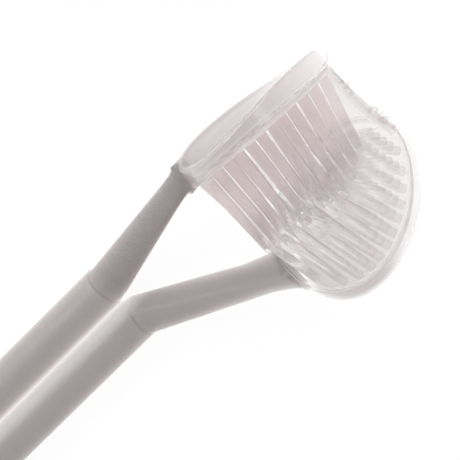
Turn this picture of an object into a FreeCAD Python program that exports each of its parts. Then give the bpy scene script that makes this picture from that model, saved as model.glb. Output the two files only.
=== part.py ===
"""Three-sided toothbrush: a forked grip of two round rods that carries a soft, one-piece bristle head.

Frame: X runs from the tail of the grip to the head, Y goes across, from one pad to the other, and Z is
up, to the open side of the head. The brush lies on the undersides of its rods, at Z = 0, with X = 0 and
Y = 0 at the middle of its length and width. All sizes are in millimetres and angles in degrees.
"""
import FreeCAD, Part
import math
import os

from FreeCAD import Vector

# Grip: two round rods side by side, moulded as one piece with a thin web between them
rod_diameter = 5.4
rod_spacing = 5.7            # between the rods' axes
web_thickness = 1.2
grip_length = 140.0          # from the tail to the fork

# Arms: each leaves its rod at a mitre and runs straight to its end plate, outwards and to the open side
arm_diameter = 5.0           # at the mitre, where the rod's end shows round it as a fine ledge
arm_width = 6.2              # the round arm flattens to a strip this wide, along the pad's edge,
arm_thickness = 2.7          # and this thick
arm_flare = 0.2              # share of its length over which it then flares out to the end plate
arm_fullness = 1.8           # how square the strip's rounded corners are
flare_steps = 4

# End plates: each hugs the near edge of its pad
plate_thickness = 0.6
plate_bite = 0.1             # how deep it is set into the pad's side
plate_width = 6.8
plate_height = 3.6           # from the pad's front towards its back
plate_lift = 0.9             # from the pad's middle to the plate's, towards the open side
plate_bead = 0.5             # radius of the bead along the plate's front edge
bead_length = 4.1

# Pads: egg-shaped plates, thicker towards the arm and towards the third side
pad_reach = 28.2             # along X, from the fork to the pad's middle
pad_rise = 9.0               # from the rods' axes to the pad's middle
pad_offset = 5.85            # from the middle plane to the pad's front, at the pad's middle
pad_tilt = 16.4              # each pad leans out to the open side
pad_toe = 3.8                # each pad turns a little towards the handle
pad_far = 10.7               # half-lengths of the outline, from the pad's middle: away from the handle,
pad_near = 9.8               # towards the handle,
pad_open = 15.8              # towards the open side,
pad_closed = 10.7            # towards the third side
pad_thickness = 3.3          # at the pad's middle
pad_wedge_handle = 4.0       # the back's lean that thickens the pad towards the handle
pad_wedge_closed = 3.2       # the back's lean that thickens it towards the third side
lip_thickness = 0.7          # the flange round the front
lip_step = 0.55              # how far the lip stands out past the body, except at the end plate
rim_width = 0.6              # the raised rim round the bristle floor
rim_height = 0.5
back_bevel = 0.4             # bevel of the back's outer edge

# Dish in the back of each pad, with a solid land left at the far end
dish_depth = 0.8
dish_margin = 1.1            # rim left round the dish
dish_land = 5.0              # solid land at the far end

# Third side: a curved wall that joins the two pads round the closed side
wall_thickness = 1.0

# Bristles: tapered fingers in rings on the pads and in rows on the third side
bristle_pitch = 1.6
bristle_root = 1.2           # diameter at the root
bristle_tip = 0.8            # diameter just below the tip
bristle_point = 0.4          # diameter of the blunt point
bristle_point_height = 0.35
bristle_sides = 6
bristle_gather = 0.8         # how far the tips draw together along the pad, 1 is not at all
bristle_margin = 1.6         # from the outline to the outer ring's middle
bristle_gap = 0.25           # from a tip to the middle plane between the pads
bristle_lowest = -4.6        # pad bristles start here, measured from the pad's middle to the open side
row_columns = 3              # bristles across the third side
row_half = 4                 # bristles on each side of the row's middle one
row_top = 4.3                # height of the row's tips above the rods' axes
sink = 0.3                   # how far a finger's root goes into what carries it

FAR_AWAY = 60.0              # half the size of a block that stands for half of space
OVERLAP = 1.0                # how far a cutting tool reaches past what it cuts
TOUCH = 1e-4                 # a point nearer than this to a plane lies on it
OUTLINE_STEPS = 40           # steps to a quarter of an outline when bristles are spaced along it
ROUND = math.sqrt(0.5)       # the weight that makes a quarter of an outline an exact ellipse
ORIGIN = Vector(0, 0, 0)
X_AXIS = Vector(1, 0, 0)
Y_AXIS = Vector(0, 1, 0)
Z_AXIS = Vector(0, 0, 1)


def oval_wire(centre, x_dir, y_dir, plus_x, minus_x, plus_y, minus_y, weight=ROUND):
    """A closed outline of four quarters, which share their tangents where they meet."""
    reach = [x_dir * plus_x, y_dir * plus_y, x_dir * -minus_x, y_dir * -minus_y]
    edges = []
    for i in range(4):
        start = reach[i]
        end = reach[(i + 1) % 4]
        curve = Part.BezierCurve()
        curve.setPoles([centre + start, centre + start + end, centre + end])
        curve.setWeight(2, weight)
        edges.append(curve.toShape())
    return Part.Wire(edges)


def pad_outline(height, inset):
    """The pad's outline, drawn in by an inset, at a height over its front plane (pad axes)."""
    return oval_wire(Vector(0, 0, height), X_AXIS, Y_AXIS, pad_far - inset, pad_near - inset,
                     pad_open - inset, pad_closed - inset)


def prism(wire, height):
    """A solid that stands on a flat closed wire."""
    return Part.Face(wire).extrude(Z_AXIS * height)


def half_space(point, normal):
    """A large block that fills the side of a plane that its normal points to."""
    block = Part.makeBox(2 * FAR_AWAY, 2 * FAR_AWAY, FAR_AWAY, Vector(-FAR_AWAY, -FAR_AWAY, 0))
    block.Placement = FreeCAD.Placement(point, FreeCAD.Rotation(Z_AXIS, normal))
    return block


def pad_frame():
    """Placement of the pad on the +Y side: its own Z is the front's normal, its Y the open side."""
    tilt = math.radians(pad_tilt)
    normal = Vector(-math.tan(math.radians(pad_toe)), -math.cos(tilt), math.sin(tilt))
    normal.normalize()
    along = X_AXIS - normal * X_AXIS.dot(normal)
    along.normalize()
    upward = normal.cross(along)
    turn = FreeCAD.Rotation(along, upward, normal, "ZXY")
    return FreeCAD.Placement(Vector(pad_reach, pad_offset, pad_rise), turn)


def back_frame():
    """Placement of the back plane in pad axes: it leans, so the pad is a wedge both ways."""
    lean_x = math.tan(math.radians(pad_wedge_handle))
    lean_y = math.tan(math.radians(pad_wedge_closed))
    normal = Vector(-lean_x, -lean_y, 1).normalize()
    return FreeCAD.Placement(Vector(0, 0, -pad_thickness), FreeCAD.Rotation(Z_AXIS, normal))


def pad_depth(x, y):
    """Thickness of the pad at a place on its front plane."""
    lean_x = math.tan(math.radians(pad_wedge_handle))
    lean_y = math.tan(math.radians(pad_wedge_closed))
    return pad_thickness - x * lean_x - y * lean_y


def make_plate():
    """End plate of an arm in pad axes: a strip that follows the pad's near edge, with a front bead."""
    outer = prism(pad_outline(-plate_height, plate_bite - plate_thickness), plate_height)
    inner = prism(pad_outline(-plate_height, plate_bite), plate_height)
    corner = Vector(-pad_near - plate_thickness, plate_lift - plate_width / 2, -plate_height)
    strip = Part.makeBox(pad_near, plate_width, plate_height, corner)
    plate = outer.cut(inner).common(strip)
    bead_start = Vector(-pad_near - plate_thickness / 2, plate_lift - bead_length / 2, -plate_bead / 2)
    bead = Part.makeCylinder(plate_bead, bead_length, bead_start, Y_AXIS)
    return plate.fuse(bead.cut(inner))


def make_pad():
    """One pad in pad axes, without its bristles: lip, wedge-shaped body, floor, rim and dished back."""
    deep = 2 * pad_depth(-pad_near, -pad_closed)
    body = prism(oval_wire(Vector(0, 0, -deep), X_AXIS, Y_AXIS, pad_far - lip_step, pad_near,
                           pad_open - lip_step, pad_closed - lip_step), deep)
    back = back_frame()
    back_normal = back.Rotation.multVec(Z_AXIS)
    body = body.common(half_space(back.Base, back_normal))
    back_edges = [e for e in body.Edges if on_plane(e, back.Base, back_normal)]
    body = body.makeChamfer(back_bevel, back_edges)

    rim = lip_step + dish_margin
    dish = oval_wire(Vector(0, 0, -OVERLAP), X_AXIS, Y_AXIS, pad_far - dish_land, pad_near - dish_margin,
                     pad_open - rim, pad_closed - rim)
    dish = prism(dish, OVERLAP + dish_depth)
    floor_edges = [e for e in dish.Edges if on_plane(e, Vector(0, 0, dish_depth), Z_AXIS)]
    dish = dish.makeChamfer(dish_depth / 2, floor_edges)
    dish.Placement = back
    body = body.cut(dish)

    lip = prism(pad_outline(-lip_thickness, 0), lip_thickness)
    floor = prism(pad_outline(-rim_height, rim_width), rim_height + OVERLAP)
    return body.fuse(lip).cut(floor)


def on_plane(edge, point, normal):
    """Whether both ends and the middle of an edge lie on a plane."""
    middle = edge.valueAt((edge.FirstParameter + edge.LastParameter) / 2)
    places = [edge.Vertexes[0].Point, edge.Vertexes[-1].Point, middle]
    return all(abs((p - point).dot(normal)) < TOUCH for p in places)


def finger(root, tip):
    """A tapered bristle from root to tip: flat-sided, so that hundreds stay light, with a blunt point."""
    axis = (tip - root).normalize()
    length = (tip - root).Length
    sizes = [(0, bristle_root), (length - bristle_point_height, bristle_tip), (length, bristle_point)]
    rotation = FreeCAD.Rotation(Z_AXIS, axis)
    rings = []
    for height, diameter in sizes:
        ring = []
        for i in range(bristle_sides):
            angle = 2 * math.pi * i / bristle_sides
            spoke = Vector(math.cos(angle), math.sin(angle), 0) * (diameter / 2)
            ring.append(root + rotation.multVec(spoke + Z_AXIS * height))
        rings.append(ring)
    outlines = [rings[0] + rings[0][:1], rings[-1] + rings[-1][:1]]
    for low, high in zip(rings, rings[1:]):
        for i in range(bristle_sides):
            j = (i + 1) % bristle_sides
            outlines.append([low[i], low[j], high[j], high[i], low[i]])
    solid = Part.Solid(Part.Shell([Part.Face(Part.makePolygon(outline)) for outline in outlines]))
    if solid.Volume < 0:
        solid.reverse()
    return solid


def ring_places(inset, shift):
    """Even places along the pad's outline drawn in by an inset, in pad axes."""
    outline = pad_outline(0, inset)
    count = max(1, round(outline.Length / bristle_pitch))
    places = []
    for edge in outline.Edges:
        places += edge.discretize(OUTLINE_STEPS)[:-1]
    steps = [0.0]
    for a, b in zip(places, places[1:] + places[:1]):
        steps.append(steps[-1] + (b - a).Length)
    ring = []
    for i in range(count):
        target = steps[-1] * ((i + shift) % count) / count
        k = max(j for j in range(len(places)) if steps[j] <= target)
        share = (target - steps[k]) / (steps[k + 1] - steps[k])
        ring.append(places[k] + (places[(k + 1) % len(places)] - places[k]) * share)
    return ring


def pad_bristles(frame):
    """The fingers of the +Y pad: rings from the rim inwards, gathered towards their tips."""
    fingers = []
    smallest = min(pad_far, pad_near, pad_open, pad_closed)
    inset = bristle_margin
    ring = 0
    while inset < smallest - bristle_pitch / 4:
        for place in ring_places(inset, 0.5 * (ring % 2)):
            if place.y < bristle_lowest:
                continue
            root = frame.multVec(Vector(place.x, place.y, -rim_height - sink))
            aim = frame.multVec(Vector(place.x * bristle_gather, place.y, 0))
            normal = frame.Rotation.multVec(Z_AXIS)
            reach = (aim.y - bristle_gap) / -normal.y
            fingers.append(finger(root, aim + normal * reach))
        inset += bristle_pitch
        ring += 1
    return fingers


def wall_height(x, inset):
    """Height of the closed side's curve, drawn in by an inset, at a place along the pad."""
    half = (pad_far if x > 0 else pad_near) - inset
    return -(pad_closed - inset) * math.sqrt(max(0.0, 1 - (x / half) ** 2))


def row_bristles(frame):
    """The third side's fingers: rows across its inner wall, all pointing to the open side."""
    fingers = []
    middle = (row_columns - 1) / 2
    for i in range(-row_half, row_half + 1):
        low = frame.multVec(Vector(i * bristle_pitch, wall_height(i * bristle_pitch, wall_thickness), 0))
        for j in range(row_columns):
            y = (j - middle) * bristle_pitch
            root = Vector(low.x, y, low.z - sink)
            fingers.append(finger(root, Vector(low.x, y, row_top)))
    return fingers


def make_wall(frame):
    """Half of the third side: the pad's outline on the closed side, carried across to the middle plane."""
    start = -lip_thickness / 2
    ring = Part.Face(pad_outline(start, 0)).cut(Part.Face(pad_outline(start, wall_thickness)))
    closed = Part.makeBox(2 * FAR_AWAY, FAR_AWAY, 2 * OVERLAP, Vector(-FAR_AWAY, -FAR_AWAY, start - OVERLAP))
    ring = ring.common(closed)
    ring.Placement = frame
    wall = ring.extrude(Y_AXIS * -FAR_AWAY)
    middle = half_space(ORIGIN, Y_AXIS)
    return wall.common(middle)


def make_head(frame):
    """The soft head: two pads, the wall between them and all bristles, moulded as one piece."""
    pad = make_pad()
    pad.Placement = frame
    plate = make_plate()
    plate.Placement = frame
    half = pad.fuse(make_wall(frame)).cut(plate).fuse(pad_bristles(frame))
    other = half.mirror(ORIGIN, Y_AXIS)
    head = half.fuse([other] + row_bristles(frame))
    return head.removeSplitter()


def make_arm(frame, fork, seat):
    """An arm from the fork to its seat: round at the fork, then a strip, flared out at the end plate."""
    path = (seat - fork).normalize()
    across = path.cross(frame.Rotation.multVec(Z_AXIS)).normalize()
    through = across.cross(path).normalize()
    radius = arm_diameter / 2
    sections = [oval_wire(fork - path * radius, across, through, radius, radius, radius, radius)]
    shares = [0.0] + [1 - arm_flare * (1 - i / flare_steps) for i in range(flare_steps + 1)]
    for share in shares:
        spread = max(0.0, (share - 1 + arm_flare) / arm_flare)
        flare = 1 - math.sqrt(1 - spread ** 2)
        width = arm_diameter + (arm_width - arm_diameter) * share + (plate_width - arm_width) * flare
        thickness = arm_diameter + (arm_thickness - arm_diameter) * share
        thickness += (plate_height - arm_thickness) * flare
        wide = across + (frame.Rotation.multVec(Y_AXIS) - across) * share
        deep = through + (frame.Rotation.multVec(Z_AXIS) - through) * share
        place = fork + (seat - fork) * share
        sections.append(oval_wire(place, wide.normalize(), deep.normalize(), width / 2, width / 2,
                                  thickness / 2, thickness / 2, ROUND + (arm_fullness - ROUND) * share))
    return Part.makeLoft(sections, True, True)


def make_leg(frame):
    """The leg on the +Y side: a rod with a ball end, its mitred arm and the arm's end plate."""
    radius = rod_diameter / 2
    fork = Vector(0, rod_spacing / 2, 0)
    seat = frame.multVec(Vector(-pad_near - plate_thickness / 3, plate_lift, -plate_height / 2))
    mitre = (X_AXIS + (seat - fork).normalize()).normalize()

    tail = fork - X_AXIS * (grip_length - radius)
    rod = Part.makeCylinder(radius, grip_length, tail, X_AXIS).fuse(Part.makeSphere(radius, tail))
    rod = rod.cut(half_space(fork, mitre))
    arm = make_arm(frame, fork, seat).cut(half_space(fork, mitre * -1))

    plate = make_plate()
    plate.Placement = frame
    return rod.fuse([arm, plate])


def make_handle(frame):
    """Both legs, joined along their rods by a thin web."""
    leg = make_leg(frame)
    length = grip_length - rod_diameter / 2
    corner = Vector(-length, -rod_spacing / 2, -web_thickness / 2)
    web = Part.makeBox(length, rod_spacing, web_thickness, corner)
    return leg.fuse([leg.mirror(ORIGIN, Y_AXIS), web])


def main():
    frame = pad_frame()
    handle = make_handle(frame)
    head = make_head(frame)
    far_end = head.optimalBoundingBox().XMax
    shift = Vector((grip_length - far_end) / 2, 0, rod_diameter / 2)
    print("fork at", shift)
    os.makedirs("parts", exist_ok=True)
    for name, shape in (("handle", handle), ("bristle_head", head)):
        shape.translate(shift)
        print(name, len(shape.Solids), "solid", round(shape.Volume, 2), "mm3", shape.optimalBoundingBox())
        solid = shape.Solids[0] if len(shape.Solids) == 1 else shape
        solid.exportStep("parts/" + name + ".step")


main()
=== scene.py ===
# %% [markdown]
# # Three-sided toothbrush
# A toothbrush with two facing bristle pads and a curved bristle wall between them, on a forked grip of two
# round rods. The packed model is the fixed frame: every piece below is placed by it. This first cell loads
# it and keeps its outer box, which the finished pieces have to stay inside.

# %% Load the frame
import math
import random

import bmesh
import bpy
from mathutils import Matrix, Vector


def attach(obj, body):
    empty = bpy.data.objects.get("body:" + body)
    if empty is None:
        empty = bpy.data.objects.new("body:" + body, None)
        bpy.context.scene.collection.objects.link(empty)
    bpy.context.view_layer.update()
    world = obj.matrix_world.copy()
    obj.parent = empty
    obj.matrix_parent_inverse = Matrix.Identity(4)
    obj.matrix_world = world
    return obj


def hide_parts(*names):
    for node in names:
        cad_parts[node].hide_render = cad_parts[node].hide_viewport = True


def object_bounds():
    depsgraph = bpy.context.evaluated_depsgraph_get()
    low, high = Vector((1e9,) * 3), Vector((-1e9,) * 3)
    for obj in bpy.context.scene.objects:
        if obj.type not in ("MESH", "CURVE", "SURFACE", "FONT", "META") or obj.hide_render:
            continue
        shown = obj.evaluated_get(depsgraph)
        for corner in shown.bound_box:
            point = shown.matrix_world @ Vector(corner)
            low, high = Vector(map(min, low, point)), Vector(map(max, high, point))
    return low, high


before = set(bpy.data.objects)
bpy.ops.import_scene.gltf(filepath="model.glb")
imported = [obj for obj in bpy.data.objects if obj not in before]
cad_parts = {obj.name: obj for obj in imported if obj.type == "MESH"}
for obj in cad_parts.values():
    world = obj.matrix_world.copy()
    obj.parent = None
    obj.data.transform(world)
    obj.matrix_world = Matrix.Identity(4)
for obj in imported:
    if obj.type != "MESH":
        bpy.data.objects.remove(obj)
CAD_BOX = [list(corner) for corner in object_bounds()]
print("nodes:", sorted(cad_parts), "box:", CAD_BOX)

# %% [markdown]
# The grip's rods and the head's two pads are drawn in millimetres from one point, the fork, where the rods
# part. Blender works in metres, so a piece is built in millimetres round the fork and scaled once, when its
# mesh is made. The main sizes here are the ones the solids have.

# %% Sizes of the brush, in millimetres and degrees
MM = 0.001
ROD = 5.4                    # diameter of each rod
GRIP_LENGTH = 140.0          # from the grip's tail to the fork
PAD_PLACE = Vector((28.2, 5.85, 9.0))     # middle of the +Y pad's front, from the fork
PAD_TILT = 16.4              # how far each pad leans out
PAD_TOE = 3.8                # how far the pads close in towards their far ends
FAR, NEAR, OPEN, CLOSED = 10.7, 9.8, 15.8, 10.7      # the egg's half-lengths
THICKNESS = 3.3              # of a pad at its middle
WEDGE_HANDLE = math.tan(math.radians(4.0))     # how a pad thickens towards the handle
WEDGE_CLOSED = math.tan(math.radians(3.2))     # and towards the closed side
TWIST, TWIST_FROM = 0.009, 5.0            # twist of the +Y pad's back, and how far below the middle it starts
FORK = Vector((CAD_BOX[0][0] + GRIP_LENGTH * MM, 0, ROD / 2 * MM))
print("fork:", FORK)

# %% [markdown]
# ## Camera
# The photograph looks down on the open side of the head from the far end, through a long lens. A long lens
# keeps parallel things parallel, so the rods hardly taper. The camera's three axes are written out, because
# the picture is also rolled, and the lens follows from the distance measured in the photograph's pixels.

# %% Camera
IMAGE = 460                  # pixels across
FOCAL_PIXELS = 2600
SENSOR = 36.0
PIXEL = 0.12                 # millimetres to a pixel at the fork
RIGHT = Vector((0.699, -0.711, 0.084)).normalized()
BACK = Vector((0.204, 0.311, 0.928))
BACK = (BACK - RIGHT * BACK.dot(RIGHT)).normalized()
UP = BACK.cross(RIGHT)
FORK_IN_VIEW = (-106.567, -70.179)        # the fork from the picture's middle, in pixels, right and up

offset = RIGHT * -FORK_IN_VIEW[0] + UP * -FORK_IN_VIEW[1] + BACK * FOCAL_PIXELS
turn = Matrix((RIGHT, UP, BACK)).transposed().to_4x4()
lens = bpy.data.cameras.new("photo_camera")
lens.sensor_width = SENSOR
lens.lens = SENSOR * FOCAL_PIXELS / IMAGE
lens.clip_end = 10.0
camera = bpy.data.objects.new("photo_camera", lens)
camera.matrix_world = Matrix.Translation(FORK + offset * (PIXEL * MM)) @ turn
bpy.context.collection.objects.link(camera)
bpy.context.scene.camera = camera
print("camera at", camera.location, "lens", round(lens.lens, 1), "mm")

# %% [markdown]
# ## Writing materials
# A material is a graph of nodes. Written node by node it is hard to read, so one small class wraps an output
# socket and lets Python's own operators build the Math nodes: `1 - mask * 0.5` reads as what it means.
# `Paint.node` makes any other node: its settings are set first, then its sockets, by value or by link.

# %% Shader helper
class Wire:
    """An output socket of a shader node, with operators that add Math nodes."""

    def __init__(self, paint, socket):
        self.paint = paint
        self.socket = socket

    def math(self, operation, first, second):
        return self.paint.node("ShaderNodeMath", {"operation": operation}, {0: first, 1: second})

    def __add__(self, other):
        return self.math("ADD", self, other)

    def __rsub__(self, other):
        return self.math("SUBTRACT", other, self)

    def __mul__(self, other):
        return self.math("MULTIPLY", self, other)

    def __getitem__(self, name):
        return Wire(self.paint, self.socket.node.outputs[name])


class Paint:
    """A material or world under construction."""

    def __init__(self, owner):
        owner.use_nodes = True
        self.tree = owner.node_tree
        self.tree.nodes.clear()

    def node(self, kind, settings=None, sockets=None):
        made = self.tree.nodes.new(kind)
        for name, value in (settings or {}).items():
            setattr(made, name, value)
        for name, value in (sockets or {}).items():
            if isinstance(value, Wire):
                self.tree.links.new(value.socket, made.inputs[name])
            else:
                made.inputs[name].default_value = value
        return Wire(self, made.outputs[0]) if made.outputs else made

    def blend(self, share, first, second):
        """A colour between two colours."""
        mix = self.node("ShaderNodeMix", {"data_type": "RGBA"}, {0: share, 6: first, 7: second})
        return Wire(self, mix.socket.node.outputs[2])


print("operators:", [name for name in vars(Wire) if name.startswith("__")])

# %% [markdown]
# ## Light, world and floor
# The brush was photographed in a white tent, lit from behind and from the sides. The tent is dark only where
# its opening lets the camera look in, so round things are dark down their middle and fade into white at both
# edges. The world is that tent: a level of light for each direction. What the camera sees directly, in a
# gloss or through clear plastic is plain white. A line of sight through a comb crosses many skins of clear
# plastic, so light may bounce often before it is given up.

# %% World
WHITE = (1.0, 1.0, 1.0, 1.0)
TENT_WALL = 1.0              # level of the tent's walls
TENT_OPENING = 0.35          # level where the camera looks in
OPENING_EDGES = (0.2, 0.95)  # where the opening starts and is full, as the cosine of the angle to the camera
BOUNCES = 32
scene = bpy.context.scene
scene.view_settings.view_transform = "Standard"
scene.cycles.max_bounces = BOUNCES
scene.cycles.transmission_bounces = BOUNCES
scene.world = bpy.data.worlds.new("white_tent")
sky = Paint(scene.world)


def plainly_seen(paint):
    """1 for rays that the camera sees directly, in a gloss or through clear plastic, and 0 for light."""
    ray = paint.node("ShaderNodeLightPath")
    direct = paint.node("ShaderNodeMath", {"operation": "MAXIMUM"},
                        {0: ray["Is Camera Ray"], 1: ray["Is Transmission Ray"]})
    return paint.node("ShaderNodeMath", {"operation": "MAXIMUM"}, {0: direct, 1: ray["Is Glossy Ray"]})


way = sky.node("ShaderNodeTexCoord")["Generated"]
toward = sky.node("ShaderNodeVectorMath", {"operation": "DOT_PRODUCT"}, {0: way, 1: BACK})["Value"]
tent = sky.node("ShaderNodeMapRange", {"interpolation_type": "SMOOTHSTEP"}, {
    "Value": toward, "From Min": OPENING_EDGES[0], "From Max": OPENING_EDGES[1],
    "To Min": TENT_WALL, "To Max": TENT_OPENING})
level = tent + plainly_seen(sky) * (1 - tent)
background = sky.node("ShaderNodeBackground", None, {"Color": WHITE, "Strength": level})
sky.node("ShaderNodeOutputWorld", None, {"Surface": background})
print("world nodes:", len(sky.tree.nodes))

# %% [markdown]
# The floor is the same white, so it has no horizon. Its own paint is matt and takes the brush's shadow, and
# what the camera sees of it is mostly plain white, which leaves that shadow faint, as a tent does.

# %% Floor
FLOOR_HALF = 3.0             # metres
FLOOR_WHITE = 0.93           # share of plain white in what is seen of the floor
FLOOR_PAINT = (0.96, 0.96, 0.96, 1.0)
floor_mesh = bpy.data.meshes.new("floor")
corners = [(x * FLOOR_HALF, y * FLOOR_HALF, 0) for x, y in ((-1, -1), (1, -1), (1, 1), (-1, 1))]
floor_mesh.from_pydata(corners, [], [(0, 1, 2, 3)])
floor = bpy.data.objects.new("floor", floor_mesh)
bpy.context.collection.objects.link(floor)
floor_material = bpy.data.materials.new("white_floor")
floor_paint = Paint(floor_material)
matt = floor_paint.node("ShaderNodeBsdfDiffuse", None, {"Color": FLOOR_PAINT})
glow = floor_paint.node("ShaderNodeEmission", None, {"Color": WHITE, "Strength": 1.0})
share = plainly_seen(floor_paint) * FLOOR_WHITE
surface = floor_paint.node("ShaderNodeMixShader", None, {0: share, 1: matt, 2: glow})
floor_paint.node("ShaderNodeOutputMaterial", None, {"Surface": surface})
floor_mesh.materials.append(floor_material)
print("floor:", FLOOR_HALF * 2, "m square")

# %% [markdown]
# The tent alone lights both sides of a rod alike. In the photograph the left side of each rod is the lighter
# one, so three soft lamps stand round the brush: a strong one behind, a strong one on the left and a weak one
# on the right. They have no part in any gloss, as a lamp's picture in a rod would be a hard white stripe.

# %% Lamps
LAMP_SIZE = 0.5              # metres


def softbox(name, place, power):
    """A square area lamp that looks at the fork."""
    lamp = bpy.data.lights.new(name, "AREA")
    lamp.size = LAMP_SIZE
    lamp.energy = power
    lamp.specular_factor = 0.0
    made = bpy.data.objects.new(name, lamp)
    made.location = place
    aim = FORK - Vector(place)
    made.rotation_euler = aim.to_track_quat("-Z", "Y").to_euler()
    bpy.context.collection.objects.link(made)
    return made


lamps = [softbox("back_box", (0.5, 0.45, 0.3), 4.0), softbox("left_box", (-0.1, 0.6, 0.35), 4.0),
         softbox("right_box", (0.3, -0.6, 0.3), 2.0)]
print("lamps:", [lamp.name for lamp in lamps])

# %% [markdown]
# ## Plastics
# Both plastics let light through. In the photograph each rod is dark down its middle and fades into white at
# its edges exactly as the path through a round bar shortens, so its grey is inside the plastic and not on it.
# The same holds for the head: one finger is pale, and a comb of many fingers is mauve. So each plastic is a
# smooth skin that bends light a little, round a volume that takes some of it away for each millimetre.
#
# The soft plastic isn't even, though: folds and rounded ends look milky, and some places are painted darker.
# Each point of a mesh carries a number for this. Above 0 it mixes in a white that glows with the light
# behind it. Below 0 it is painted shade: it tints the skin towards a dark mauve and takes some of its gloss,
# in the rim's groove, along the lip's underside and the body's side, over the dish in the back and at the
# roots of the -Y pad's fingers. The +Y pad's fingertips and the curls of flash are tinted a little darker
# too.
# The soft plastic is mixed three times, for the pads with their wall, for a deep comb and for a pale one, and
# what differs most is how much light a millimetre of it takes.
#
# The grip has one thin place, the web between its rods. In the photograph it is a light line, because light
# from below comes straight through it. A painted glow stands in for that: a faint white emission on the skin
# near the middle line.

# %% Clear plastics
MILK = (0.985, 0.972, 0.955, 1.0)
PAINTED_SHADE_TINT = (0.5, 0.45, 0.455, 1.0)
BLACK = (0.0, 0.0, 0.0, 1.0)
WEB_LIGHT = (0.93, 0.965, 0.975, 1.0)
WEB_HALF = 1.7               # how far the web's light reaches from the middle line
CLOUD, GRAIN = 260.0, 2400.0              # waves in a metre: the colour's clouds, the skin's grain
BUMP, BUMP_HEIGHT = 0.006, 0.0002
COAT_ROUGHNESS, COAT_BEND = 0.15, 1.5


def clear_plastic(name, taken, clearness, bend, gloss, tints, web_glow=0.0, shine=0.6):
    """A plastic that takes a share of red, green and blue light for each millimetre of the light's path."""
    material = bpy.data.materials.new(name)
    paint = Paint(material)
    where = paint.node("ShaderNodeTexCoord")["Object"]
    cloud = paint.node("ShaderNodeTexNoise", None, {"Vector": where, "Scale": CLOUD, "Detail": 4.0})
    grain = paint.node("ShaderNodeTexNoise", None, {"Vector": where, "Scale": GRAIN, "Detail": 2.0})
    milk_and_shade = paint.node("ShaderNodeAttribute", {"attribute_name": "milk_and_shade"})["Fac"]
    clouded = paint.blend(cloud, (*tints[0], 1.0), (*tints[1], 1.0))
    bump = paint.node("ShaderNodeBump", None, {
        "Height": cloud * 0.4 + grain * 0.6, "Strength": BUMP, "Distance": BUMP_HEIGHT})
    # Painted glow: near the middle line the skin emits a faint white, standing in for light through the web.
    across = paint.node("ShaderNodeSeparateXYZ", None, {"Vector": where})["Y"]
    web_glow_mask = paint.node("ShaderNodeMapRange", {"interpolation_type": "SMOOTHERSTEP"}, {
        "Value": across.math("ABSOLUTE", across, 0.0), "From Min": WEB_HALF * MM, "From Max": 0.0,
        "To Min": 0.0, "To Max": web_glow})
    # Below 0 the point's number is painted shade: it blends the base colour towards a dark mauve and thins
    # the coat.
    shader = paint.node("ShaderNodeBsdfPrincipled", None, {
        "Base Color": paint.blend(0 - milk_and_shade, clouded, PAINTED_SHADE_TINT), "Roughness": cloud * 0.02 + gloss,
        "Normal": bump, "IOR": bend, "Transmission Weight": clearness,
        "Coat Weight": milk_and_shade.math("MINIMUM", milk_and_shade, 0.0) * shine + shine,
        "Coat Roughness": COAT_ROUGHNESS, "Coat IOR": COAT_BEND,
        "Emission Color": paint.blend(web_glow_mask, BLACK, WEB_LIGHT), "Emission Strength": 1.0})
    white = paint.node("ShaderNodeBsdfTranslucent", None, {"Color": MILK})
    milky = milk_and_shade * (cloud * 0.5 + 0.75)
    surface = paint.node("ShaderNodeMixShader", None, {0: milky, 1: shader, 2: white})
    most = max(taken) / MM
    left = [1 - share / MM / most for share in taken]
    depth = paint.node("ShaderNodeVolumeAbsorption", None, {"Color": (*left, 1.0), "Density": most})
    paint.node("ShaderNodeOutputMaterial", None, {"Surface": surface, "Volume": depth})
    return material


GRIP_PLASTIC = clear_plastic("grip_plastic", (0.325, 0.375, 0.382), 0.83, 1.01, 0.0,
                             ((0.92, 0.92, 0.91), (0.98, 0.98, 0.97)), web_glow=0.33, shine=0.15)
PAD_PLASTIC = clear_plastic("clear_soft_plastic", (0.0145, 0.0178, 0.0175), 0.95, 1.012, 0.01,
                            ((0.94, 0.92, 0.925), (0.99, 0.975, 0.98)))
SOFT_PLASTIC = clear_plastic("bristle_soft_plastic", (0.037, 0.0435, 0.044), 0.97, 1.012, 0.0,
                             ((0.97, 0.95, 0.95), (1.0, 0.985, 0.985)))
PALE_PLASTIC = clear_plastic("pale_bristle_plastic", (0.0105, 0.013, 0.013), 0.985, 1.012, 0.0,
                             ((0.985, 0.974, 0.974), (1.0, 0.994, 0.994)))
print("plastics:", GRIP_PLASTIC.name, PAD_PLASTIC.name, SOFT_PLASTIC.name, PALE_PLASTIC.name)

# %% [markdown]
# ## Making meshes from rings
# Most of the brush is a row of closed rings joined by faces: a finger is rings round a line, and a pad is
# rings round an egg. One function skins any such row, and another turns the result into an object.

# %% Skins and objects
SHARP = 35.0                 # degrees between two faces from which their edge is sharp


def skin(rings, milk_and_shade):
    """Points, faces and each point's milk of a row of closed rings, with both ends filled."""
    count = len(rings[0])
    points = [point for ring in rings for point in ring]
    faces = []
    for r in range(len(rings) - 1):
        for i in range(count):
            j = (i + 1) % count
            faces.append((r * count + i, r * count + j, (r + 1) * count + j, (r + 1) * count + i))
    faces.append(tuple(reversed(range(count))))
    faces.append(tuple(range((len(rings) - 1) * count, len(rings) * count)))
    return points, faces, milk_and_shade


def join(parts):
    """One shape from several, each a triple of points, faces and milk."""
    points, faces, milk_and_shade_values = [], [], []
    for more_points, more_faces, more_milk_and_shade in parts:
        start = len(points)
        points += more_points
        faces += [tuple(start + i for i in face) for face in more_faces]
        milk_and_shade_values += more_milk_and_shade
    return points, faces, milk_and_shade_values


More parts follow.
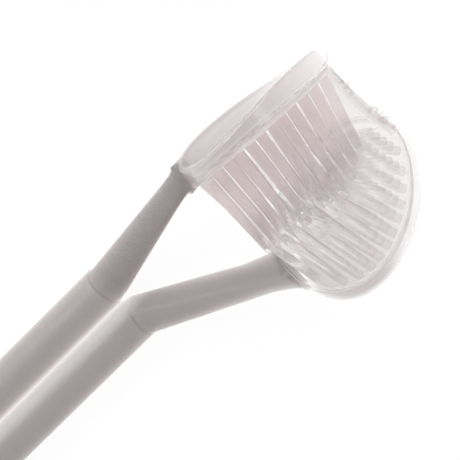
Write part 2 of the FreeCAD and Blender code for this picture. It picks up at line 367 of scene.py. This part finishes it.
def dress(mesh):
    """Turns a mesh's faces outwards and marks its sharp edges."""
    work = bmesh.new()
    work.from_mesh(mesh)
    bmesh.ops.recalc_face_normals(work, faces=work.faces)
    for face in work.faces:
        face.smooth = True
    for edge in work.edges:
        edge.smooth = edge.calc_face_angle(0.0) < math.radians(SHARP)
    work.to_mesh(mesh)
    work.free()


def piece(name, shape, material):
    """An object from points in millimetres round the fork, shaded smooth up to an angle."""
    points, faces, milk_and_shade_values = shape
    mesh = bpy.data.meshes.new(name)
    mesh.from_pydata([FORK + point * MM for point in points], [], faces)
    milk_and_shade = mesh.attributes.new("milk_and_shade", "FLOAT", "POINT")
    for value, white in zip(milk_and_shade.data, milk_and_shade_values):
        value.value = white
    dress(mesh)
    mesh.materials.append(material)
    made = bpy.data.objects.new(name, mesh)
    bpy.context.collection.objects.link(made)
    return made


print("skin of two squares:", len(skin([[Vector()] * 4] * 2, [0.0] * 8)[1]), "faces")

# %% [markdown]
# ## The pads
# Each pad is an egg: longer to the open side, and leaning out. Its own axes are easier to draw in: x runs
# away from the handle, y to the open side, z out of the front, where the bristles stand. A frame built from
# the lean and the toe takes these axes to the brush, and the other pad is its mirror image.

# %% Pad axes
def pad_axes():
    """The frame of the +Y pad, from its lean and its toe."""
    lean = math.radians(PAD_TILT)
    normal = Vector((-math.tan(math.radians(PAD_TOE)), -math.cos(lean), math.sin(lean))).normalized()
    along = (Vector((1, 0, 0)) - normal * normal.x).normalized()
    upward = normal.cross(along)
    return Matrix.Translation(PAD_PLACE) @ Matrix((along, upward, normal)).transposed().to_4x4()


PAD = pad_axes()
MIRROR = Matrix.Diagonal((1, -1, 1, 1))


def egg(angle, far, near, opened, closed):
    """A place on an oval of four quarter ellipses."""
    across = far if math.cos(angle) > 0 else near
    along = opened if math.sin(angle) > 0 else closed
    return across * math.cos(angle), along * math.sin(angle)


def depth(x, y, twist):
    """How thick the pad is at a place on its front."""
    return THICKNESS - x * WEDGE_HANDLE - y * WEDGE_CLOSED + twist * x * (y + TWIST_FROM)


print("pad normal:", PAD.to_3x3().col[2])

# %% [markdown]
# The pad's section is a list of stations, each an oval and a height: the floor between the bristles, the
# raised rim, the lip that stands out past the body, the body's side, the bevel, and the dish in the back.
# Soft plastic has no hard corner, so each corner of this section is cut by two extra stations. The numbers
# for milk give the rim its two milky white lines, as the light draws them in the photograph, and the thin
# dark line between them is painted shade in the groove. Painted shade also darkens the lip's underside, the
# body's side, the back round the bevel and the dish in the back. The +Y pad's back is a little twisted, as
# moulded soft plastic warps, and the other pad's isn't.

# %% Pad sections
STEPS = 144                  # points round a ring
LIP_STEP = 0.55              # how far the lip stands out past the body
LIP = 0.7                    # its thickness
FLOOR_DEPTH = 0.5            # how deep the floor between the bristles lies under the rim
DISH_DEPTH = 0.22
DISH_MARGIN = 1.1            # from the body's edge to the dish
DISH_LAND = 5.0              # the same at the far end
BODY_FADE = 0.6              # share of its milk that the body has lost at its far end


def pad_stations():
    """Stations from the floor's middle to the dish's: inset, side, height and milk, which is painted shade
    below 0.
    """
    return [
        (6.0, "front", -FLOOR_DEPTH, 0.0), (0.86, "front", -FLOOR_DEPTH, 0.0),
        (0.72, "front", -FLOOR_DEPTH + 0.05, 0.05), (0.62, "front", -0.34, 0.15), (0.58, "front", -0.1, 0.2),
        (0.5, "front", -0.01, 0.2), (0.4, "front", 0.0, 0.4), (0.31, "front", -0.03, 0.4),
        (0.26, "front", -0.12, -0.3), (0.2, "front", -0.14, -0.7), (0.13, "front", -0.09, -0.2),
        (0.06, "front", -0.11, 0.6), (0.01, "front", -0.18, 0.8), (0.0, "front", -0.28, 0.8),
        (0.0, "front", -LIP + 0.14, 0.7), (0.03, "front", -LIP + 0.04, 0.2), (0.12, "front", -LIP, -0.6),
        (LIP_STEP - 0.15, "body", -LIP, -0.5), (LIP_STEP - 0.04, "body", -LIP - 0.04, -0.3),
        (LIP_STEP, "body", -LIP - 0.16, -0.5), (LIP_STEP, "back", 0.42, -0.5),
        (LIP_STEP + 0.04, "back", 0.26, 0.5), (LIP_STEP + 0.16, "back", 0.1, 0.8),
        (LIP_STEP + 0.34, "back", 0.01, 0.4), (LIP_STEP + 0.5, "back", 0.0, -0.2),
        (LIP_STEP + 0.8, "back", 0.0, -0.7), (-0.12, "dish", 0.02, -0.9), (0.0, "dish", 0.06, -1.0),
        (0.3, "dish", 0.14, -1.0), (0.9, "dish", 0.2, -0.9), (2.5, "dish", DISH_DEPTH, -0.8),
        (4.0, "dish", DISH_DEPTH, -0.7),
    ]


def fade(value, start, end):
    """0 before start, 1 after end and a smooth rise between them."""
    share = min(1.0, max(0.0, (value - start) / (end - start)))
    return share * share * (3 - 2 * share)


def pad_rings(twist):
    """The pad's rings and each point's milk. The lip grows milkier to its far end, and the body clearer, and
    the painted shade of the body, back and dish is full on the handle's side and gone at the far end.
    """
    rings, milk_and_shade_values = [], []
    for inset, side, height, milk_and_shade in pad_stations():
        ring = []
        for i in range(STEPS):
            angle = 2 * math.pi * i / STEPS
            ends = max(0.0, inset - LIP_STEP)
            if side == "dish":
                rim = LIP_STEP + DISH_MARGIN + inset
                x, y = egg(angle, FAR - DISH_LAND - inset, NEAR - DISH_MARGIN - inset,
                           OPEN - rim, CLOSED - rim)
            elif side == "front":
                x, y = egg(angle, FAR - inset, NEAR - inset, OPEN - inset, CLOSED - inset)
            else:
                x, y = egg(angle, FAR - ends, NEAR - ends, OPEN - inset, CLOSED - inset)
            z = height if side in ("front", "body") else -depth(x, y, twist) + height
            ring.append(Vector((x, y, z)))
            far = fade(x, -2.0, 8.0)
            if side == "front":
                milk_and_shade_values.append(milk_and_shade * (0.5 + 0.5 * far) if milk_and_shade > 0 else milk_and_shade)
            else:
                milk_and_shade_values.append(milk_and_shade * (1 - BODY_FADE * far) if milk_and_shade > 0 else milk_and_shade * (1 - far))
        rings.append(ring)
    return rings, milk_and_shade_values


def placed(shape, matrix):
    """A shape moved by a matrix."""
    points, faces, milk_and_shade_values = shape
    return [matrix @ point for point in points], faces, milk_and_shade_values


pads = [piece("pad_left", placed(skin(*pad_rings(TWIST)), PAD), PAD_PLASTIC),
        piece("pad_right", placed(skin(*pad_rings(0.0)), MIRROR @ PAD), PAD_PLASTIC)]
print("pad faces:", [len(pad.data.polygons) for pad in pads])

# %% [markdown]
# ## The third side
# A curved wall joins the pads round the closed side. It follows the pads' own outline, so it can be drawn
# as that outline carried across from one pad to the other, with a rounded edge at both ends. The photograph
# shows fine raised lines along the wall's far end, which also bows in a little between the pads.

# %% Wall
WALL = 1.0                   # thickness
WALL_STEPS = 72              # steps round the closed side
ACROSS = 24                  # steps from pad to pad
BEADS = ((0.9, 0.1), (1.8, 0.08), (2.7, 0.06))    # raised lines: place from the end, height
BEAD_WIDTH = 0.175
FAR_BOW = 0.55               # how far the wall's far end bows in at its middle
BOW_REACH = 4.0              # distance from the end in which the bow dies out
END_MILK, BEAD_MILK = 0.55, 0.9


def wall_line():
    """The wall's run round the closed side: angles, close together at its ends, and distances from an end."""
    angles = [math.pi * (1.5 - 0.5 * math.cos(math.pi * i / WALL_STEPS)) for i in range(WALL_STEPS + 1)]
    places = [Vector(egg(angle, FAR, NEAR, OPEN, CLOSED)) for angle in angles]
    walk = [0.0]
    for a, b in zip(places, places[1:]):
        walk.append(walk[-1] + (b - a).length)
    return [(angle, min(d, walk[-1] - d)) for angle, d in zip(angles, walk)]


def swell(distance):
    """How far the wall's faces stand out from their plain run, at a distance from the end."""
    high = -0.5 * WALL * (1 - math.sqrt(max(0.0, 1 - max(0.0, 1 - distance / (WALL / 2)) ** 2)))
    for place, height in BEADS:
        high += height * math.exp(-((distance - place) / BEAD_WIDTH) ** 2)
    return high


def wall_shape():
    """The wall as rings that go round its thickness, one for each step across."""
    line = wall_line()
    rings, milk_and_shade_values = [], []
    for k in range(ACROSS + 1):
        share = 1 - 2 * k / ACROSS
        ring = []
        for outer, order in ((True, line), (False, list(reversed(line)))):
            for angle, distance in order:
                inset = -swell(distance) if outer else WALL + swell(distance)
                x, y = egg(angle, FAR - inset, NEAR - inset, OPEN - inset, CLOSED - inset)
                point = PAD @ Vector((x, y, -LIP / 2))
                bow = 0.0
                if angle > 1.5 * math.pi:
                    bow = FAR_BOW * (1 - share * share) * math.exp(-distance / BOW_REACH)
                ring.append(Vector((point.x - bow, point.y * share, point.z)))
                end = 1 - fade(distance, 0.2, 0.9)
                milk_and_shade_values.append(END_MILK * end + BEAD_MILK * max(0.0, swell(distance)))
        rings.append(ring)
    return skin(rings, milk_and_shade_values)


wall = piece("third_side_wall", wall_shape(), PAD_PLASTIC)
print("wall faces:", len(wall.data.polygons))

# %% [markdown]
# ## Bristles
# The bristles are moulded fingers: round, tapered, with a ball end, and a small flare where they leave the
# floor. A finger is a row of rings round a line that bows a little towards its tip.

# %% Finger
PITCH = 1.6                  # from finger to finger
ROOT, TIP = 0.63, 0.46       # radii
SIDES = 14
SINK = 0.08                  # how deep a finger is rooted in the floor, so that no gap shows
draw = random.Random(7)


def finger(root, tip, bend, girth=1.0, root_shade=0.0, tip_milk=0.0, point=0.0):
    """A finger along a line from root to tip that bows out by a bend. Its girth is a factor on its radius,
    and point is how much thinner than others its tip is."""
    axis = tip - root
    length = axis.length
    side = axis.orthogonal().normalized()
    other = axis.normalized().cross(side)
    stations = [(0.0, ROOT * 0.5), (0.06, ROOT * 0.8), (0.16, ROOT), (0.4, ROOT * 1.04), (0.8, ROOT)]
    for share in (0.2, 0.32, 0.45, 0.58, 0.7, 0.8, 0.88):
        stations.append((length * share, ROOT + (TIP - ROOT) * share - point * fade(share, 0.55, 1.0)))
    end = TIP - point
    for turn in (0.0, 0.35, 0.7, 1.0, 1.3):
        stations.append((length - end + end * math.sin(turn), end * math.cos(turn)))
    rings, milk_and_shade = [], []
    for height, radius in sorted(stations):
        share = height / length
        middle = root + axis * share + bend * (share * share)
        rings.append([middle + (side * math.cos(a) + other * math.sin(a)) * radius * girth
                      for a in (2 * math.pi * i / SIDES for i in range(SIDES))])
        # A root's number is painted shade at the finger's foot, fading out between 1 and 2.8 mm up.
        milk_and_shade += [root_shade * (1 - fade(height, 1.0, 2.8)) + tip_milk * fade(share, 0.55, 0.95)] * SIDES
    return skin(rings, milk_and_shade)


print("finger faces:", len(finger(Vector(), Vector((0, 0, 8)), Vector())[1]))

# %% [markdown]
# The fingers stand in columns. Each column starts just inside the rim on the open side and steps down to the
# closed side, leaning slightly away from the handle as it rises. Seen from the open end, the fingers of a
# column stand behind each other, and between two columns the eye looks right through the comb: these are
# the white slits of the photograph. One bend is shared by a column and a smaller one is a finger's own, from
# a seeded generator that repeats every run.
#
# The combs of the two pads meet along one straight line in the photograph, mauve tongues on the one side and
# white ones on the other. So the tips gather a little to the middle, and at the two ends of the head the +Y
# pad's fingers pass the middle while the other's make room. The -Y pad's fingers are slimmer, looser and
# paler, with milky points, because the camera looks along them and sees few behind one another.

# %% Pad bristles
MARGIN, MARGIN_FAR = 1.45, 1.0            # from the pad's edge to the outermost fingers, and at the far end
LEAN_LEFT, LEAN_RIGHT = 0.17, 0.25        # how far a column leans from the handle as it rises
LEAN_FAN = 0.002             # how much less it leans for each millimetre from the handle
COLUMN_SHIFT = 1.05
COLUMN_FOOT = 8.0            # height where the columns' spacing is counted
SWAY = 0.04                  # every other finger stands this much aside
GATHER_NEAR, GATHER_FAR = 0.92, 0.8       # how far the tips keep their distance from the pad's middle
TOWARDS_HANDLE = 0.45
GAP = 0.4                    # from the tips to the middle
LOWEST = -4.6
PASS_FROM, PASS_SLOPE = 2.5, 0.52         # where the tips start to pass the middle, and how fast
LOWER_PASS = 0.55            # how far the other pad's tips make room, as a share of that
LOOSE = 2.0                  # how much more the -Y pad's fingers bend


def inside(x, y):
    """Whether a place is on the floor, clear of the rim."""
    half = FAR - MARGIN_FAR if x > 0 else NEAR - MARGIN
    return (x / half) ** 2 + (y / ((OPEN if y > 0 else CLOSED) - MARGIN)) ** 2 <= 1


def column_places(lean):
    """For each column, its places from the open side to the closed side."""
    columns = []
    for i in range(-8, 9):
        y = OPEN
        places = []
        while y > LOWEST:
            x = i * PITCH + COLUMN_SHIFT
            x += (lean - LEAN_FAN * x) * (y - COLUMN_FOOT)
            if inside(x, y):
                places.append(Vector((x, y)))
                y -= PITCH
            elif places:
                break
            else:
                y -= 0.02
        if places:
            columns.append(places)
    return columns


def kind_of(place, mirror):
    """A finger's girth, the painted shade at its root, its tip's milk and how much thinner its tip is."""
    if mirror:
        # The -Y pad's fingers get painted shade at their roots and milky points; the +Y pad's tips are tinted
        # a little darker.
        return 0.86, -0.26, 0.4 - 0.2 * fade(place.x, 2.0, 7.0), 0.16
    return 1.0, 0.0, -0.17, 0.0


def pad_fingers(mirror):
    """The fingers of the +Y pad, or of the -Y pad drawn on the same side."""
    fingers = []
    normal = PAD.to_3x3().col[2]
    loose = LOOSE if mirror else 1.0
    for places in column_places(LEAN_RIGHT if mirror else LEAN_LEFT):
        drift = Vector((draw.gauss(0, 0.04 if mirror else 0.07), 0, 0))
        shared = Vector((draw.gauss(0, 0.14), 0, draw.gauss(0, 0.08))) * loose
        for k, place in enumerate(places):
            sway = Vector((SWAY if k % 2 else -SWAY, 0, 0)) * (0 if mirror else 1)
            root = PAD @ Vector((place.x, place.y, -FLOOR_DEPTH - SINK)) + drift + sway
            gather = GATHER_FAR if place.x > 0 else GATHER_NEAR
            aim = PAD @ Vector((place.x * gather - TOWARDS_HANDLE, place.y, 0))
            passing = PASS_SLOPE * max(0.0, abs(place.x) - PASS_FROM)
            end = passing * LOWER_PASS + GAP if mirror else GAP - passing
            reach = (aim.y - end) / -normal.y
            own = Vector((draw.gauss(0, 0.05), 0, draw.gauss(0, 0.06))) * loose * loose
            short = abs(draw.gauss(0, 0.15 * loose))
            tip = aim + normal * (reach - short)
            fingers.append(finger(root, tip, shared + own, *kind_of(place, mirror)))
    return fingers


left = pad_fingers(False)
right = [placed(shape, MIRROR) for shape in pad_fingers(True)]
print("pad fingers:", len(left), len(right))

# %% [markdown]
# The third side has bristles of its own, which stand up from the bottom of the curved wall and end at one
# height, so they brush a tooth's chewing face. The pads hide most of them. They are drawn as three rows of
# the same fingers.

# %% Third side's bristles
ROW_HALF = 4                 # fingers on each side of a row's middle one
ROWS = 3
ROW_TOP = 4.3                # height of their tips above the fork


def row_fingers():
    """The short fingers that stand on the wall."""
    fingers = []
    for i in range(-ROW_HALF, ROW_HALF + 1):
        x = i * PITCH
        half = (FAR if x > 0 else NEAR) - WALL
        height = -(CLOSED - WALL) * math.sqrt(1 - (x / half) ** 2)
        low = PAD @ Vector((x, height, 0))
        for j in range(ROWS):
            y = (j - (ROWS - 1) / 2) * PITCH
            bend = Vector((draw.gauss(0, 0.15), draw.gauss(0, 0.05), 0))
            fingers.append(finger(Vector((low.x, y, low.z - SINK)), Vector((low.x, y, ROW_TOP)), bend))
    return fingers


bristles = [piece("bristles_left", join(left), SOFT_PLASTIC),
            piece("bristles_right", join(right), PALE_PLASTIC),
            piece("bristles_third_side", join(row_fingers()), SOFT_PLASTIC)]
print("bristle faces:", [len(made.data.polygons) for made in bristles])

# %% [markdown]
# ## Moulding flash
# Soft plastic creeps into the gap between the halves of its mould and leaves thin curls where they part. The
# photograph shows a small hook at the far corner of one pad, four nubs and two curled shavings along the
# wall's far end. Each is a thin tube through a few points, given by how far they stand from the edge.

# %% Curls
CURL = 0.2                   # radius
CURL_SIDES = 8
CURL_MILK = -0.25


def edge_place(share):
    """A place on the wall's far end, from the +Y pad at 0 to the -Y pad at 1."""
    corner = PAD @ Vector((FAR, 0, -LIP / 2))
    across = 1 - 2 * share
    return Vector((corner.x - FAR_BOW * (1 - across * across) - 0.1, corner.y * across, corner.z + 0.1))


def smooth_line(points, steps=5):
    """A line that passes smoothly through its points."""
    ends = [points[0] * 2 - points[1]] + points + [points[-1] * 2 - points[-2]]
    line = []
    for a, b, c, d in zip(ends, ends[1:], ends[2:], ends[3:]):
        for i in range(steps):
            s = i / steps
            line.append((b * 2 + (c - a) * s + (a * 2 - b * 5 + c * 4 - d) * s * s
                         + (b * 3 - a - c * 3 + d) * s * s * s) / 2)
    return line + [points[-1]]


def curl(start, steps, radius):
    """A thin tube from a start through the points that lie at these steps from it, thinner to its end."""
    line = smooth_line([start + Vector(step) for step in steps])
    rings = []
    side = (line[1] - line[0]).orthogonal().normalized()
    for i, point in enumerate(line):
        ahead = (line[min(i + 1, len(line) - 1)] - line[max(i - 1, 0)]).normalized()
        side = (side - ahead * side.dot(ahead)).normalized()
        other = ahead.cross(side)
        girth = radius * (1 - 0.7 * fade(i / (len(line) - 1), 0.4, 1.0))
        rings.append([point + (side * math.cos(a) + other * math.sin(a)) * girth
                      for a in (2 * math.pi * k / CURL_SIDES for k in range(CURL_SIDES))])
    return skin(rings, [CURL_MILK] * len(rings) * CURL_SIDES)


NUB = [(-0.15, 0, 0), (0.25, -0.15, 0), (0.5, 0.05, 0.05), (0.55, 0.35, 0.1)]
SHAVING = [(-0.2, 0.1, 0), (0.3, 0.25, 0), (0.75, 0.2, 0.15), (0.85, -0.25, 0.3), (0.45, -0.4, 0.15),
           (0.4, -0.8, 0), (0.8, -1.05, 0.1), (1.15, -0.85, 0.2)]
LOOP = [(-0.2, 0.2, 0), (0.3, 0.1, 0), (0.6, -0.25, 0.1), (0.35, -0.55, 0.2), (0.05, -0.3, 0.1),
        (0.3, 0.0, 0), (0.7, -0.15, -0.05), (0.95, -0.5, 0)]
HOOK = [(-0.1, -0.1, 0), (0.1, 0.12, 0), (0.45, 0.32, 0), (0.95, 0.5, 0), (1.3, 0.85, 0)]
NUB_PLACES = ((0.2, 0.8), (0.27, 1.1), (0.36, 0.7), (0.95, 0.8))      # share of the edge, size
NUB_RADIUS = CURL * 0.8

flash = [curl(PAD @ Vector((FAR - 0.25, 1.5, -LIP)), HOOK, CURL)]
for share, size in NUB_PLACES:
    flash.append(curl(edge_place(share), [Vector(step) * size for step in NUB], NUB_RADIUS))
flash.append(curl(edge_place(0.66), SHAVING, CURL))
flash.append(curl(edge_place(0.8), LOOP, CURL))
curls = piece("moulding_flash", join(flash), PALE_PLASTIC)
print("curls:", len(flash), "faces:", len(curls.data.polygons))

# %% [markdown]
# ## Finish
# Every piece rides on the brush's one body and has its plastic. The packed bristle head is hidden, and the
# handle takes the grip's plastic.

# %% Ride, replace and finish
for made in pads + [wall, curls] + bristles:
    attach(made, "root")
    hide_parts("bristle_head")

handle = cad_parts["handle"]
handle.data.materials.clear()
handle.data.materials.append(GRIP_PLASTIC)
